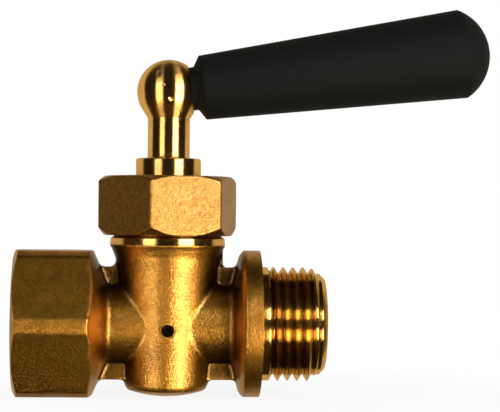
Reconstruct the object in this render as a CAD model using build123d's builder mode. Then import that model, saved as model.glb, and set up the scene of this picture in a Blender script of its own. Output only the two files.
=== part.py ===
"""Three-way gauge cock: forged body, tapered plug with ball and lever, and gland packing.

The origin is the centre of the collar's sealing face. The run lies along X, with the male thread
towards +X and the female socket towards -X. The plug and its stem stand along +Z. The lever lies
over the male thread when the cock is open.
"""
import math
import os

from build123d import *

# ------------------------------------------------------- driving dimensions, millimetres and degrees

# Run: distances from the stem axis, and the length of the male thread.
stem_to_face = 17.0
stem_to_socket_end = 28.0
male_thread_length = 12.0

# Parallel pipe thread G 1/2, cut as rings of the true profile.
thread_pitch = 25.4 / 14
thread_major_radius = 10.4775
thread_depth_ratio = 0.640327
thread_angle = 55.0
thread_land = 1.4
thread_nose = 1.5
thread_nose_chamfer = 0.9

# Both wrench forms, the socket and the gland nut, are hexagons.
hexagon_sides = 6

# Female socket and its hexagon.
socket_hex_flats = 26.5
socket_corner_radius = 14.7
socket_end_radius = 12.75
socket_chamfer_angle = 30.0
socket_shoulder_angle = 24.0
socket_depth = 13.0
socket_relief_length = 2.0
socket_relief_depth = 0.15
socket_mouth_chamfer = 0.7

# Barrel: its outside follows the taper of the plug. Above it come a machined land and a threaded boss.
barrel_radius = 8.55
barrel_wall_bottom = -12.3
barrel_crown_height = 1.1
barrel_edge_fillet = 0.35
barrel_flare_start = 12.0
land_radius = 10.65
land_bottom = 14.1
land_height = 0.8
land_step = 0.2
land_bevel_height = 0.6
relief_radius = 9.5
relief_height = 1.3
boss_radius = 10.0
boss_top = 22.5
boss_chamfer = 0.6

# Necks, and the webs in the parting plane between barrel, socket and collar.
neck_radius = 7.5
socket_neck_length = 2.45
web_half_height = 10.3
web_thickness = 5.0
side_rib_reach = 10.2
side_rib_thickness = 2.4
blend_share = 0.45
seam_tolerance = 0.01

# Collar.
collar_radius = 13.5
collar_rim_width = 3.0
collar_rim_bevel_length = 0.7
collar_rim_bevel_depth = 0.9
collar_back_angle = 15.0

# Flow passages.
flow_radius = 3.0
vent_radius = 1.15
vent_height = -1.0

# Plug, shank, stem and ball, turned from one bar.
plug_taper = 1 / 6
plug_radius = 6.3
plug_bottom = -9.6
plug_top = 10.7
plug_clearance = 0.02
plug_edge_chamfer = 0.4
seat_wear_allowance = 0.9
shank_radius = 6.0
shank_top = 30.3
shank_edge_radius = 0.5
stem_radius = 3.875
ball_radius = 5.93
ball_height = 42.6
ball_neck_angle = 32.5
ball_flat = 4.0

# Gland: chamber, washer, packing, follower and nut.
chamber_radius = 8.0
chamber_bottom = 10.5
running_clearance = 0.05
washer_thickness = 0.8
packing_names = ("lower", "middle", "upper")
packing_height = 2.8
packing_bevel = 0.3
follower_flange_radius = 9.2
follower_flange_thickness = 1.6
nut_flats = 23.0
nut_bottom = 16.1
nut_top = 27.0
nut_roof = 2.5
nut_turn = 15.0
nut_top_radius = 11.6
nut_bottom_radius = 11.6
nut_top_bevel_angle = 30.0
nut_bottom_bevel_angle = 42.0
nut_hole_clearance = 0.15
nut_thread_clearance = 0.1

# Lever: its tilt above the run, and lengths from the centre of the ball along it.
lever_tilt = 8.3
stud_radius = 3.0
stud_depth = 2.5
stud_end_gap = 1.0
stud_chamfer = 0.5
stud_clearance = 0.03
insert_radius = 4.5
insert_start = 10.0
insert_length = 16.0
insert_groove_width = 2.0
insert_groove_depth = 0.6
grip_neck_radius = 4.0
grip_neck_length = 1.0
grip_shoulder_length = 1.2
grip_near_radius = 5.95
grip_far_radius = 8.25
grip_cone_length = 48.8
grip_dome_height = 5.1

# ------------------------------------------------------- places worked out from them

stem_x = -stem_to_face
socket_end_x = stem_x - stem_to_socket_end
socket_bottom_x = socket_end_x + socket_depth
socket_flat_radius = socket_hex_flats / 2
shoulder_lean = math.tan(math.radians(socket_shoulder_angle))
neck_start_x = stem_x - barrel_radius - socket_neck_length
socket_shoulder_x = neck_start_x - (socket_flat_radius - neck_radius) * shoulder_lean
shoulder_corner_x = socket_shoulder_x - (socket_corner_radius - socket_flat_radius) * shoulder_lean
blend_radius = blend_share * socket_neck_length
socket_chamfer_length = (socket_corner_radius - socket_end_radius) * math.tan(
    math.radians(socket_chamfer_angle)
)
collar_back_x = -collar_rim_width - collar_rim_bevel_length
collar_back_radius = collar_radius - collar_rim_bevel_depth
neck_end_x = collar_back_x - (collar_back_radius - neck_radius) * math.tan(
    math.radians(collar_back_angle)
)

plug_slope = plug_taper / 2
barrel_edge_radius = barrel_radius + plug_slope * barrel_wall_bottom
barrel_flare_radius = barrel_radius + plug_slope * barrel_flare_start
barrel_bottom = barrel_wall_bottom - barrel_crown_height
crown_radius = (barrel_edge_radius**2 + barrel_crown_height**2) / (2 * barrel_crown_height)
land_top = land_bottom + land_height
relief_bottom = land_top + land_bevel_height
relief_top = relief_bottom + relief_height
seat_radius = plug_radius + plug_clearance
seat_bottom = plug_bottom - seat_wear_allowance

thread_depth = thread_depth_ratio * thread_pitch
thread_minor_radius = thread_major_radius - thread_depth
thread_flat = thread_pitch / 2 - thread_depth * math.tan(math.radians(thread_angle / 2))
male_groove_count = int((male_thread_length - thread_land - thread_nose) / thread_pitch)
female_groove_count = int((socket_depth - socket_relief_length - thread_flat) / thread_pitch)
groove_half_mouth = (thread_pitch - thread_flat) / 2
male_groove_start = thread_land + groove_half_mouth
female_groove_start = socket_end_x + thread_flat + groove_half_mouth

packing_bottom = plug_top + washer_thickness
follower_top = nut_top - nut_roof
follower_bottom = packing_bottom + len(packing_names) * packing_height

stem_axis = Axis((stem_x, 0, 0), (0, 0, 1))
stem_plane = Plane(origin=(stem_x, 0, 0), x_dir=(1, 0, 0), z_dir=(0, -1, 0))
tilt_cos = math.cos(math.radians(lever_tilt))
tilt_sin = math.sin(math.radians(lever_tilt))
lever_axis = Axis((stem_x, 0, ball_height), (tilt_cos, 0, tilt_sin))
lever_plane = Plane(
    origin=(stem_x, 0, ball_height), x_dir=(tilt_cos, 0, tilt_sin), z_dir=(0, -1, 0)
)
ball_flat_plane = Plane(
    origin=(stem_x + ball_flat * tilt_cos, 0, ball_height + ball_flat * tilt_sin),
    x_dir=(0, 1, 0),
    z_dir=(tilt_cos, 0, tilt_sin),
)


def taper_radius(radius, height):
    """Radius at a height of a taper that has the given radius at the run axis."""
    return radius + plug_slope * height


def level(height):
    """Horizontal plane centred on the stem axis at a height."""
    return Plane.XY.offset(height).shift_origin((stem_x, 0, height))


def is_hollow_corner(edge):
    """Whether two faces meet in a hollow here. The seams of turned faces lie in the parting plane."""
    is_seam = edge.bounding_box().size.Y < seam_tolerance
    return not is_seam and edge.is_interior


# ------------------------------------------------------- valve body

with BuildPart() as valve_body:
    # Socket: a hexagon turned down by its end chamfer, its corner rounding and its shoulder cone.
    with BuildSketch(Plane.YZ.offset(socket_end_x)):
        RegularPolygon(radius=socket_flat_radius, side_count=hexagon_sides, major_radius=False)
    extrude(amount=neck_start_x - socket_end_x)
    with BuildSketch(Plane.XZ):
        with BuildLine():
            Polyline(
                (socket_end_x, 0),
                (socket_end_x, socket_end_radius),
                (socket_end_x + socket_chamfer_length, socket_corner_radius),
                (shoulder_corner_x, socket_corner_radius),
                (neck_start_x, neck_radius),
                (neck_start_x, 0),
                close=True,
            )
        make_face()
    revolve(axis=Axis.X, mode=Mode.INTERSECT)

    # Neck and collar.
    with BuildSketch(Plane.XZ):
        with BuildLine():
            Polyline(
                (neck_start_x, 0),
                (neck_start_x, neck_radius),
                (neck_end_x, neck_radius),
                (collar_back_x, collar_back_radius),
                (-collar_rim_width, collar_radius),
                (0, collar_radius),
                (0, 0),
                close=True,
            )
        make_face()
    revolve(axis=Axis.X)

    # Barrel with its crowned bottom and its flare up to the land.
    with BuildSketch(stem_plane) as barrel_profile:
        with BuildLine():
            crown = RadiusArc((0, barrel_bottom), (barrel_edge_radius, barrel_wall_bottom), -crown_radius)
            Polyline(
                crown @ 1,
                (barrel_flare_radius, barrel_flare_start),
                (land_radius - land_step, land_bottom),
                (0, land_bottom),
                crown @ 0,
            )
        make_face()
        barrel_corners = barrel_profile.vertices().sort_by_distance((barrel_edge_radius, barrel_wall_bottom))
        fillet(barrel_corners[0], radius=barrel_edge_fillet)
    revolve(axis=stem_axis)

    # Webs above and below the necks, let into the socket's shoulder and the collar's back.
    with BuildSketch(Plane.XZ):
        with BuildLine():
            Polyline(
                (socket_shoulder_x, -web_half_height),
                (collar_back_x, -web_half_height),
                (collar_back_x, web_half_height),
                (socket_shoulder_x, web_half_height),
                close=True,
            )
        make_face()
    extrude(amount=web_thickness / 2, both=True)

    # Hollow corners of the forging.
    fillet(valve_body.edges().filter_by(is_hollow_corner), radius=blend_radius)

    # Rib along the parting line of the barrel, on the collar's side.
    with BuildSketch(Plane.XZ):
        with BuildLine():
            Polyline(
                (stem_x, web_half_height - blend_radius),
                (stem_x + side_rib_reach, web_half_height - blend_radius),
                (stem_x + side_rib_reach, land_bottom),
                (stem_x, land_bottom),
                close=True,
            )
        make_face()
    extrude(amount=side_rib_thickness / 2, both=True)

    # Land, thread relief and threaded boss.
    with BuildSketch(stem_plane):
        with BuildLine():
            Polyline(
                (0, land_bottom),
                (land_radius, land_bottom),
                (land_radius, land_top),
                (relief_radius, relief_bottom),
                (relief_radius, relief_top),
                (boss_radius, relief_top + boss_radius - relief_radius),
                (boss_radius, boss_top - boss_chamfer),
                (boss_radius - boss_chamfer, boss_top),
                (0, boss_top),
                close=True,
            )
        make_face()
    revolve(axis=stem_axis)

    # Male thread blank with its chamfered nose at the root diameter.
    with BuildSketch(Plane.XZ):
        with BuildLine():
            Polyline(
                (0, 0),
                (0, thread_major_radius),
                (male_thread_length - thread_nose, thread_major_radius),
                (male_thread_length - thread_nose, thread_minor_radius),
                (male_thread_length - thread_nose_chamfer, thread_minor_radius),
                (male_thread_length, thread_minor_radius - thread_nose_chamfer),
                (male_thread_length, 0),
                close=True,
            )
        make_face()
    revolve(axis=Axis.X)

    # Socket bore with its mouth chamfer and the thread relief at its bottom.
    with BuildSketch(Plane.XZ):
        with BuildLine():
            Polyline(
                (socket_end_x, 0),
                (socket_end_x, thread_major_radius + socket_mouth_chamfer),
                (socket_end_x + thread_depth + socket_mouth_chamfer, thread_minor_radius),
                (socket_bottom_x - socket_relief_length, thread_minor_radius),
                (socket_bottom_x - socket_relief_length, thread_major_radius + socket_relief_depth),
                (socket_bottom_x, thread_major_radius + socket_relief_depth),
                (socket_bottom_x, 0),
                close=True,
            )
        make_face()
    revolve(axis=Axis.X, mode=Mode.SUBTRACT)

    # Thread grooves: V rings with a flat at the root, cut into the spigot and into the socket.
    with BuildSketch(Plane.XZ):
        with Locations(*[(male_groove_start + n * thread_pitch, 0) for n in range(male_groove_count)]):
            Polygon(
                (-groove_half_mouth, thread_major_radius),
                (-thread_flat / 2, thread_minor_radius),
                (thread_flat / 2, thread_minor_radius),
                (groove_half_mouth, thread_major_radius),
                align=None,
            )
        with Locations(*[(female_groove_start + n * thread_pitch, 0) for n in range(female_groove_count)]):
            Polygon(
                (-groove_half_mouth, thread_minor_radius),
                (-thread_flat / 2, thread_major_radius),
                (thread_flat / 2, thread_major_radius),
                (groove_half_mouth, thread_minor_radius),
                align=None,
            )
    revolve(axis=Axis.X, mode=Mode.SUBTRACT)

    # Tapered seat for the plug, and the gland chamber above it.
    with BuildSketch(stem_plane):
        with BuildLine():
            Polyline(
                (0, seat_bottom),
                (taper_radius(seat_radius, seat_bottom), seat_bottom),
                (taper_radius(seat_radius, chamber_bottom), chamber_bottom),
                (chamber_radius, chamber_bottom),
                (chamber_radius, boss_top),
                (0, boss_top),
                close=True,
            )
        make_face()
    revolve(axis=stem_axis, mode=Mode.SUBTRACT)

    # Flow passage from the socket to the end of the spigot, and the vent through the front wall.
    with BuildSketch(Plane.YZ.offset(socket_bottom_x)):
        Circle(flow_radius)
    extrude(amount=male_thread_length - socket_bottom_x, mode=Mode.SUBTRACT)
    with BuildSketch(stem_plane):
        with Locations((0, vent_height)):
            Circle(vent_radius)
    extrude(amount=taper_radius(barrel_radius, barrel_flare_start), mode=Mode.SUBTRACT)

# ------------------------------------------------------- plug with shank, stem and ball

with BuildPart() as plug:
    neck_join = math.radians(ball_neck_angle)
    join_radius = ball_radius * math.cos(neck_join)
    join_height = ball_height - ball_radius * math.sin(neck_join)
    stem_top = join_height - (join_radius - stem_radius) / math.tan(neck_join)
    with BuildSketch(stem_plane):
        with BuildLine():
            Polyline(
                (0, plug_bottom),
                (taper_radius(plug_radius, plug_bottom) - plug_edge_chamfer, plug_bottom),
                (taper_radius(plug_radius, plug_bottom), plug_bottom + plug_edge_chamfer),
                (taper_radius(plug_radius, plug_top), plug_top),
                (shank_radius, plug_top),
                (shank_radius, shank_top - shank_edge_radius),
            )
            RadiusArc(
                (shank_radius, shank_top - shank_edge_radius),
                (shank_radius - shank_edge_radius, shank_top),
                -shank_edge_radius,
            )
            Polyline(
                (shank_radius - shank_edge_radius, shank_top),
                (stem_radius, shank_top),
                (stem_radius, stem_top),
                (join_radius, join_height),
            )
            ThreePointArc(
                (join_radius, join_height),
                (ball_radius, ball_height),
                (0, ball_height + ball_radius),
            )
            Line((0, ball_height + ball_radius), (0, plug_bottom))
        make_face()
    revolve(axis=stem_axis)

    # Spot face on the ball and the tapped hole for the lever's stud.
    with BuildSketch(ball_flat_plane):
        Circle(ball_radius)
    extrude(amount=ball_radius, mode=Mode.SUBTRACT)
    with BuildSketch(ball_flat_plane):
        Circle(stud_radius + stud_clearance)
    extrude(amount=-ball_flat - stud_depth - stud_clearance, mode=Mode.SUBTRACT)

    # Tee port: a passage along the run and a branch that faces away from the vent when open.
    with BuildSketch(Plane.YZ.offset(stem_x)):
        Circle(flow_radius)
    extrude(amount=plug_radius + plug_slope * plug_top, both=True, mode=Mode.SUBTRACT)
    with BuildSketch(stem_plane):
        Circle(flow_radius)
    extrude(amount=-(plug_radius + plug_slope * plug_top), mode=Mode.SUBTRACT)

# ------------------------------------------------------- gland

with BuildPart() as packing_base_washer:
    with BuildSketch(level(plug_top)):
        Circle(chamber_radius - running_clearance)
        Circle(shank_radius + running_clearance, mode=Mode.SUBTRACT)
    extrude(amount=washer_thickness)


def make_packing_ring(bottom):
    """One packing ring between shank and chamber, with bevelled edges, standing at a height."""
    with BuildPart() as ring:
        with BuildSketch(level(bottom)):
            Circle(chamber_radius)
            Circle(shank_radius + plug_clearance, mode=Mode.SUBTRACT)
        extrude(amount=packing_height)
        outer_edges = ring.edges().filter_by(GeomType.CIRCLE).group_by(SortBy.RADIUS)[-1]
        chamfer(outer_edges, length=packing_bevel)
    return ring.part


with BuildPart() as gland_follower:
    with BuildSketch(stem_plane):
        with BuildLine():
            Polyline(
                (shank_radius + running_clearance, follower_bottom),
                (chamber_radius - running_clearance, follower_bottom),
                (chamber_radius - running_clearance, follower_top - follower_flange_thickness),
                (follower_flange_radius, follower_top - follower_flange_thickness),
                (follower_flange_radius, follower_top),
                (shank_radius + running_clearance, follower_top),
                close=True,
            )
        make_face()
    revolve(axis=stem_axis)

with BuildPart() as gland_nut:
    with BuildSketch(level(nut_bottom)):
        RegularPolygon(radius=nut_flats / 2, side_count=hexagon_sides, major_radius=False, rotation=nut_turn)
    extrude(amount=nut_top - nut_bottom)
    corner_radius = nut_flats / 2 / math.cos(math.pi / hexagon_sides)
    top_bevel = (corner_radius - nut_top_radius) * math.tan(math.radians(nut_top_bevel_angle))
    bottom_bevel = (corner_radius - nut_bottom_radius) * math.tan(math.radians(nut_bottom_bevel_angle))
    with BuildSketch(stem_plane):
        with BuildLine():
            Polyline(
                (boss_radius + nut_thread_clearance, nut_bottom),
                (nut_bottom_radius, nut_bottom),
                (corner_radius, nut_bottom + bottom_bevel),
                (corner_radius, nut_top - top_bevel),
                (nut_top_radius, nut_top),
                (shank_radius + nut_hole_clearance, nut_top),
                (shank_radius + nut_hole_clearance, follower_top),
                (boss_radius + nut_thread_clearance, follower_top),
                close=True,
            )
        make_face()
    revolve(axis=stem_axis, mode=Mode.INTERSECT)

# ------------------------------------------------------- lever

with BuildPart() as lever_stud:
    stud_length = insert_start + insert_length - stud_end_gap + stud_depth
    with BuildSketch(ball_flat_plane.offset(-ball_flat - stud_depth)):
        Circle(stud_radius)
    extrude(amount=stud_length)
    chamfer(lever_stud.edges().filter_by(GeomType.CIRCLE), length=stud_chamfer)

with BuildPart() as grip_insert:
    with BuildSketch(lever_plane):
        with Locations((insert_start + insert_length / 2, (stud_radius + stud_clearance + insert_radius) / 2)):
            Rectangle(insert_length, insert_radius - stud_radius - stud_clearance)
        with Locations((insert_start + insert_length / 2, insert_radius)):
            Rectangle(insert_groove_width, 2 * insert_groove_depth, mode=Mode.SUBTRACT)
    revolve(axis=lever_axis)

with BuildPart() as grip:
    shoulder_end = ball_flat + grip_neck_length + grip_shoulder_length
    cone_end = shoulder_end + grip_cone_length
    dome_radius = (grip_far_radius**2 + grip_dome_height**2) / (2 * grip_dome_height)
    with BuildSketch(lever_plane):
        with BuildLine():
            Polyline(
                (insert_start + insert_length, 0),
                (insert_start + insert_length, insert_radius),
                (insert_start, insert_radius),
                (insert_start, stud_radius + stud_clearance),
                (ball_flat, stud_radius + stud_clearance),
                (ball_flat, grip_neck_radius),
                (ball_flat + grip_neck_length, grip_neck_radius),
                (shoulder_end, grip_near_radius),
                (cone_end, grip_far_radius),
            )
            RadiusArc((cone_end, grip_far_radius), (cone_end + grip_dome_height, 0), dome_radius)
            Line((cone_end + grip_dome_height, 0), (insert_start + insert_length, 0))
        make_face()
        # Ring of plastic that fills the insert's retaining groove.
        with Locations((insert_start + insert_length / 2, insert_radius)):
            Rectangle(insert_groove_width, 2 * insert_groove_depth)
    revolve(axis=lever_axis)

# ------------------------------------------------------- export

os.makedirs("parts", exist_ok=True)

for index, name in enumerate(packing_names):
    packing_ring = make_packing_ring(packing_bottom + index * packing_height)
    packing_ring.label = f"packing_ring_{name}"
    export_step(packing_ring, f"parts/packing_ring_{name}.step")

valve_body.part.label = "valve_body"
export_step(valve_body.part, "parts/valve_body.step")
packing_base_washer.part.label = "packing_base_washer"
export_step(packing_base_washer.part, "parts/packing_base_washer.step")
gland_follower.part.label = "gland_follower"
export_step(gland_follower.part, "parts/gland_follower.step")
gland_nut.part.label = "gland_nut"
export_step(gland_nut.part, "parts/gland_nut.step")
plug.part.label = "plug"
export_step(plug.part, "parts/plug.step")
lever_stud.part.label = "lever_stud"
export_step(lever_stud.part, "parts/lever_stud.step")
grip_insert.part.label = "grip_insert"
export_step(grip_insert.part, "parts/grip_insert.step")
grip.part.label = "grip"
export_step(grip.part, "parts/grip.step")
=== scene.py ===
"""Dresses the gauge cock: forged and turned brass, a blasted gland nut and a moulded black grip.

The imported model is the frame. Sizes are in millimetres and degrees on the classes and turned to
metres and radians where they are used. The run lies along X, the stem stands along Z, and the vent
faces -Y.
"""
from __future__ import annotations

import logging
import math
from abc import ABC, abstractmethod
from dataclasses import dataclass
from enum import Enum
from typing import Any

import bmesh
import bpy
from bpy.types import Material, Mesh, Node, NodeSocket, NodeTree, Object
from mathutils import Matrix, Quaternion, Vector, noise

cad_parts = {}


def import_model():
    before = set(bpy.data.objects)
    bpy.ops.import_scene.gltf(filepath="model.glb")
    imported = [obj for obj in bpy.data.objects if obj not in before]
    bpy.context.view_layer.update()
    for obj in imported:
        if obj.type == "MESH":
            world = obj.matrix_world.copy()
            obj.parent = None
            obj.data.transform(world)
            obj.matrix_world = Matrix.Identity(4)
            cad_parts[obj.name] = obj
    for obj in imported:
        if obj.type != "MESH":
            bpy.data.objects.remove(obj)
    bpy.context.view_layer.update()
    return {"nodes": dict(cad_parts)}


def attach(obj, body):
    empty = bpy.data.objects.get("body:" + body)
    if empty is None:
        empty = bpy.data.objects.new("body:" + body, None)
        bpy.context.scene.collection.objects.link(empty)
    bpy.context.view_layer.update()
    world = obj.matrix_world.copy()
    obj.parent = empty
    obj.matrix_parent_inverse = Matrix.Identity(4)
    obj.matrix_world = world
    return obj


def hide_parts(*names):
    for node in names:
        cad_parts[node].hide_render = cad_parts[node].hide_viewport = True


LOG = logging.getLogger("gauge_cock")
MM = 0.001
BMesh = bmesh.types.BMesh
Point = tuple[float, float, float]
Profile = list[tuple[float, float]]
Colour = tuple[float, float, float, float]

# Sizes that sub-assemblies share: the stem's place along the run, the ball's height and the lever's
# rise towards its end.
STEM_X = -17.0
BALL_HEIGHT = 42.6
LEVER_TILT = 8.3

# Steps round a turned surface, and how close two points lie when they are one.
SEGMENTS = 144
SAME_POINT = 0.0005

WHITE = (1.0, 1.0, 1.0, 1.0)


class Body(Enum):
    """The rigid bodies that pieces ride on."""

    VALVE = "body"
    LEVER = "lever"


class Slot(Enum):
    """Material slot names, which place_piece is given but does not use."""

    FORGED = "forged_brass"
    BLASTED = "blasted_brass"
    TURNED = "turned_brass"
    PHENOLIC = "moulded_phenolic"


class Axis(Enum):
    """The two axes that parts were turned about."""

    RUN = "X"
    STEM = "Z"


# ------------------------------------------------------- nodes and colours


def hex_colour(code: str) -> Colour:
    """Turns an sRGB hex colour to linear.

    Args:
        code: Six hex digits with a leading hash.

    Returns:
        Linear red, green, blue and an alpha of 1.
    """
    values = [int(code[i : i + 2], 16) / 255 for i in (1, 3, 5)]
    linear = [v / 12.92 if v <= 0.04045 else ((v + 0.055) / 1.055) ** 2.4 for v in values]
    return (linear[0], linear[1], linear[2], 1.0)


def add_node(
    tree: NodeTree, kind: str, inputs: dict[str | int, Any] | None = None, **settings: Any
) -> Node:
    """Adds a node with its settings and links.

    Args:
        tree: The shader or geometry tree.
        kind: The node's type name.
        inputs: Values, output sockets or nodes, by the input's name or number. A node stands for its
            first output in use.
        **settings: Attributes to set on the node.

    Returns:
        The new node.
    """
    node = tree.nodes.new(kind)
    for name, value in settings.items():
        setattr(node, name, value)
    for key, value in (inputs or {}).items():
        if isinstance(value, Node):
            value = next(output for output in value.outputs if output.enabled)
        if isinstance(value, NodeSocket):
            tree.links.new(value, node.inputs[key])
        else:
            node.inputs[key].default_value = value
    return node


def new_material(name: str) -> tuple[Material, NodeTree]:
    """Makes an empty node material.

    Args:
        name: The material's name.

    Returns:
        The material and its cleared tree.
    """
    material = bpy.data.materials.new(name)
    material.use_nodes = True
    material.node_tree.nodes.clear()
    return material, material.node_tree


# ------------------------------------------------------- finishes


class Finish(ABC):
    """A finish, whose material is made once and whose patterns sit on the object."""

    name: str

    @abstractmethod
    def shader(self, tree: NodeTree, place: NodeSocket) -> Node:
        """Adds the finish's shader.

        Args:
            tree: The material's tree.
            place: Object coordinates.

        Returns:
            The shader's node.
        """

    def material(self) -> Material:
        """Builds the material, or finds the one built before.

        Returns:
            The material.
        """
        if self.name in bpy.data.materials:
            return bpy.data.materials[self.name]
        material, tree = new_material(self.name)
        place = add_node(tree, "ShaderNodeTexCoord").outputs["Object"]
        add_node(tree, "ShaderNodeOutputMaterial", {"Surface": self.shader(tree, place)})
        return material


@dataclass(frozen=True)
class Mark:
    """A scratch or a dent: a groove between two points, in millimetres on the object."""

    start: Point
    end: Point
    width: float
    depth: float


@dataclass(frozen=True)
class BrassFinish(Finish):
    """Brass with clouds of tarnish, a thin film of oxide and the faint waver that a lathe leaves.

    Blasting gives a stronger grain and, where they have a size, craters, each with a random shade
    of colour: a painted sparkle, as if each crater caught more or less light.
    Where a recess size is given, painted shade darkens the colour in the recesses that ambient
    occlusion finds closed. A turned surface streaks its highlights across the
    rings about its axis.
    """

    name: str
    colour: str
    tarnish: str = "#BE7A34"
    edge_tint: str = "#E6D1A1"
    tarnish_share: float = 0.4
    tarnish_start: float = 0.38
    tarnish_full: float = 0.68
    cloud_mm: float = 4.0
    roughness: float = 0.34
    roughness_spread: float = 0.03
    grain_mm: float = 0.6
    grain_height_mm: float = 0.004
    crater_mm: float = 0.0
    crater_depth_mm: float = 0.0
    painted_sparkle: float = 0.0
    # Painted shade in recesses: how far ambient occlusion looks, the darkest share of the colour, and
    # the openness below which the shade is full.
    painted_shade_mm: float = 0.0
    painted_shade_darkest: float = 1.0
    painted_shade_closed: float = 0.45
    film: float = 0.4
    film_roughness: float = 0.2
    streak: float = 0.0
    streak_axis: Axis | None = None
    marks: tuple[Mark, ...] = ()

    def shader(self, tree: NodeTree, place: NodeSocket) -> Node:
        """Adds the brass shader.

        Args:
            tree: The material's tree.
            place: Object coordinates.

        Returns:
            The shader's node.
        """
        cloud = add_node(
            tree,
            "ShaderNodeTexNoise",
            {"Vector": place, "Scale": 1 / (self.cloud_mm * MM), "Detail": 4.0, "Roughness": 0.6},
        )
        amount = add_node(
            tree,
            "ShaderNodeMapRange",
            {
                "Value": cloud,
                "From Min": self.tarnish_start,
                "From Max": self.tarnish_full,
                "To Max": self.tarnish_share,
            },
            interpolation_type="SMOOTHSTEP",
        )
        # Inputs 6 and 7 are the two colours of a colour mix.
        colour = add_node(
            tree,
            "ShaderNodeMix",
            {"Factor": amount, 6: hex_colour(self.colour), 7: hex_colour(self.tarnish)},
            data_type="RGBA",
        )
        rough = add_node(
            tree,
            "ShaderNodeMapRange",
            {
                "Value": cloud,
                "From Min": 0.3,
                "From Max": 0.7,
                "To Min": self.roughness - self.roughness_spread,
                "To Max": self.roughness + self.roughness_spread,
            },
        )
        grain = add_node(
            tree,
            "ShaderNodeTexNoise",
            {"Vector": place, "Scale": 1 / (self.grain_mm * MM), "Detail": 1.0, "Roughness": 0.5},
        )
        normal = add_node(
            tree, "ShaderNodeBump", {"Distance": self.grain_height_mm * MM, "Height": grain}
        )
        if self.crater_mm:
            normal, colour = self._craters(tree, place, normal, colour)
        # Painted shade: the colour darkens in the recesses.
        if self.painted_shade_mm:
            colour = self._painted_recess_shade(tree, colour)
        for mark in self.marks:
            normal = self._marked(tree, place, normal, mark)
        shader = add_node(
            tree,
            "ShaderNodeBsdfPrincipled",
            {
                "Base Color": colour,
                "Metallic": 1.0,
                "Roughness": rough,
                "Specular Tint": hex_colour(self.edge_tint),
                "Anisotropic": self.streak,
                "Coat Weight": self.film,
                "Coat Roughness": self.film_roughness,
                "Normal": normal,
                "Coat Normal": normal,
            },
        )
        if self.streak_axis:
            # A quarter turn lays the highlight across the rings that the tool left.
            shader.inputs["Anisotropic Rotation"].default_value = 0.25
            axis = self.streak_axis.value
            tangent = add_node(tree, "ShaderNodeTangent", direction_type="RADIAL", axis=axis)
            tree.links.new(tangent.outputs["Tangent"], shader.inputs["Tangent"])
        return shader

    def _craters(
        self, tree: NodeTree, place: NodeSocket, normal: Node, colour: Node
    ) -> tuple[Node, Node]:
        """Adds the small craters that blasting grit leaves, each with a random shade of colour as
        painted sparkle.

        Args:
            tree: The material's tree.
            place: Object coordinates.
            normal: The normal so far.
            colour: The colour so far.

        Returns:
            The new normal and colour.
        """
        cells = add_node(
            tree, "ShaderNodeTexVoronoi", {"Vector": place, "Scale": 1 / (self.crater_mm * MM)}
        ).outputs
        depth = {"Distance": self.crater_depth_mm * MM, "Height": cells["Distance"], "Normal": normal}
        pressed = add_node(tree, "ShaderNodeBump", depth)
        lot = add_node(tree, "ShaderNodeSeparateColor", {0: cells["Color"]})
        span = {"To Min": 1.0 - self.painted_sparkle, "To Max": 1.0 + self.painted_sparkle}
        shade = add_node(tree, "ShaderNodeMapRange", {"Value": lot.outputs["Red"], **span})
        specked = add_node(
            tree, "ShaderNodeVectorMath", {0: colour, "Scale": shade}, operation="SCALE"
        )
        return pressed, specked

    def _painted_recess_shade(self, tree: NodeTree, colour: Node) -> Node:
        """Paints shade into the recesses: the colour darkens where ambient occlusion finds them
        closed.

        Args:
            tree: The material's tree.
            colour: The colour so far.

        Returns:
            The new colour.
        """
        openness = add_node(
            tree,
            "ShaderNodeAmbientOcclusion",
            {"Distance": self.painted_shade_mm * MM},
            only_local=True,
            samples=8,
        )
        shade = add_node(
            tree,
            "ShaderNodeMapRange",
            {
                "Value": openness.outputs["AO"],
                "From Min": self.painted_shade_closed,
                "To Min": self.painted_shade_darkest,
            },
            interpolation_type="SMOOTHSTEP",
        )
        return add_node(
            tree, "ShaderNodeVectorMath", {0: colour, "Scale": shade}, operation="SCALE"
        )

    def _marked(self, tree: NodeTree, place: NodeSocket, normal: Node, mark: Mark) -> Node:
        """Adds a scratch or a dent, deepest along the line between the mark's points.

        Args:
            tree: The material's tree.
            place: Object coordinates.
            normal: The normal so far.
            mark: The scratch or dent.

        Returns:
            The new normal.
        """
        start = Vector(mark.start) * MM
        way = Vector(mark.end) * MM - start
        scaled = way / way.length_squared
        kind = "ShaderNodeVectorMath"
        offset = add_node(tree, kind, {0: place, 1: start}, operation="SUBTRACT")
        share = add_node(tree, kind, {0: offset, 1: scaled}, operation="DOT_PRODUCT")
        kept = add_node(tree, "ShaderNodeClamp", {"Value": share})
        nearest = add_node(tree, kind, {0: way, "Scale": kept}, operation="SCALE")
        away = add_node(tree, kind, {0: offset, 1: nearest}, operation="DISTANCE")
        height = add_node(
            tree,
            "ShaderNodeMapRange",
            {"Value": away, "From Max": mark.width / 2 * MM},
            interpolation_type="SMOOTHSTEP",
        )
        groove = {"Distance": mark.depth * MM, "Height": height, "Normal": normal}
        return add_node(tree, "ShaderNodeBump", groove)


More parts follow.
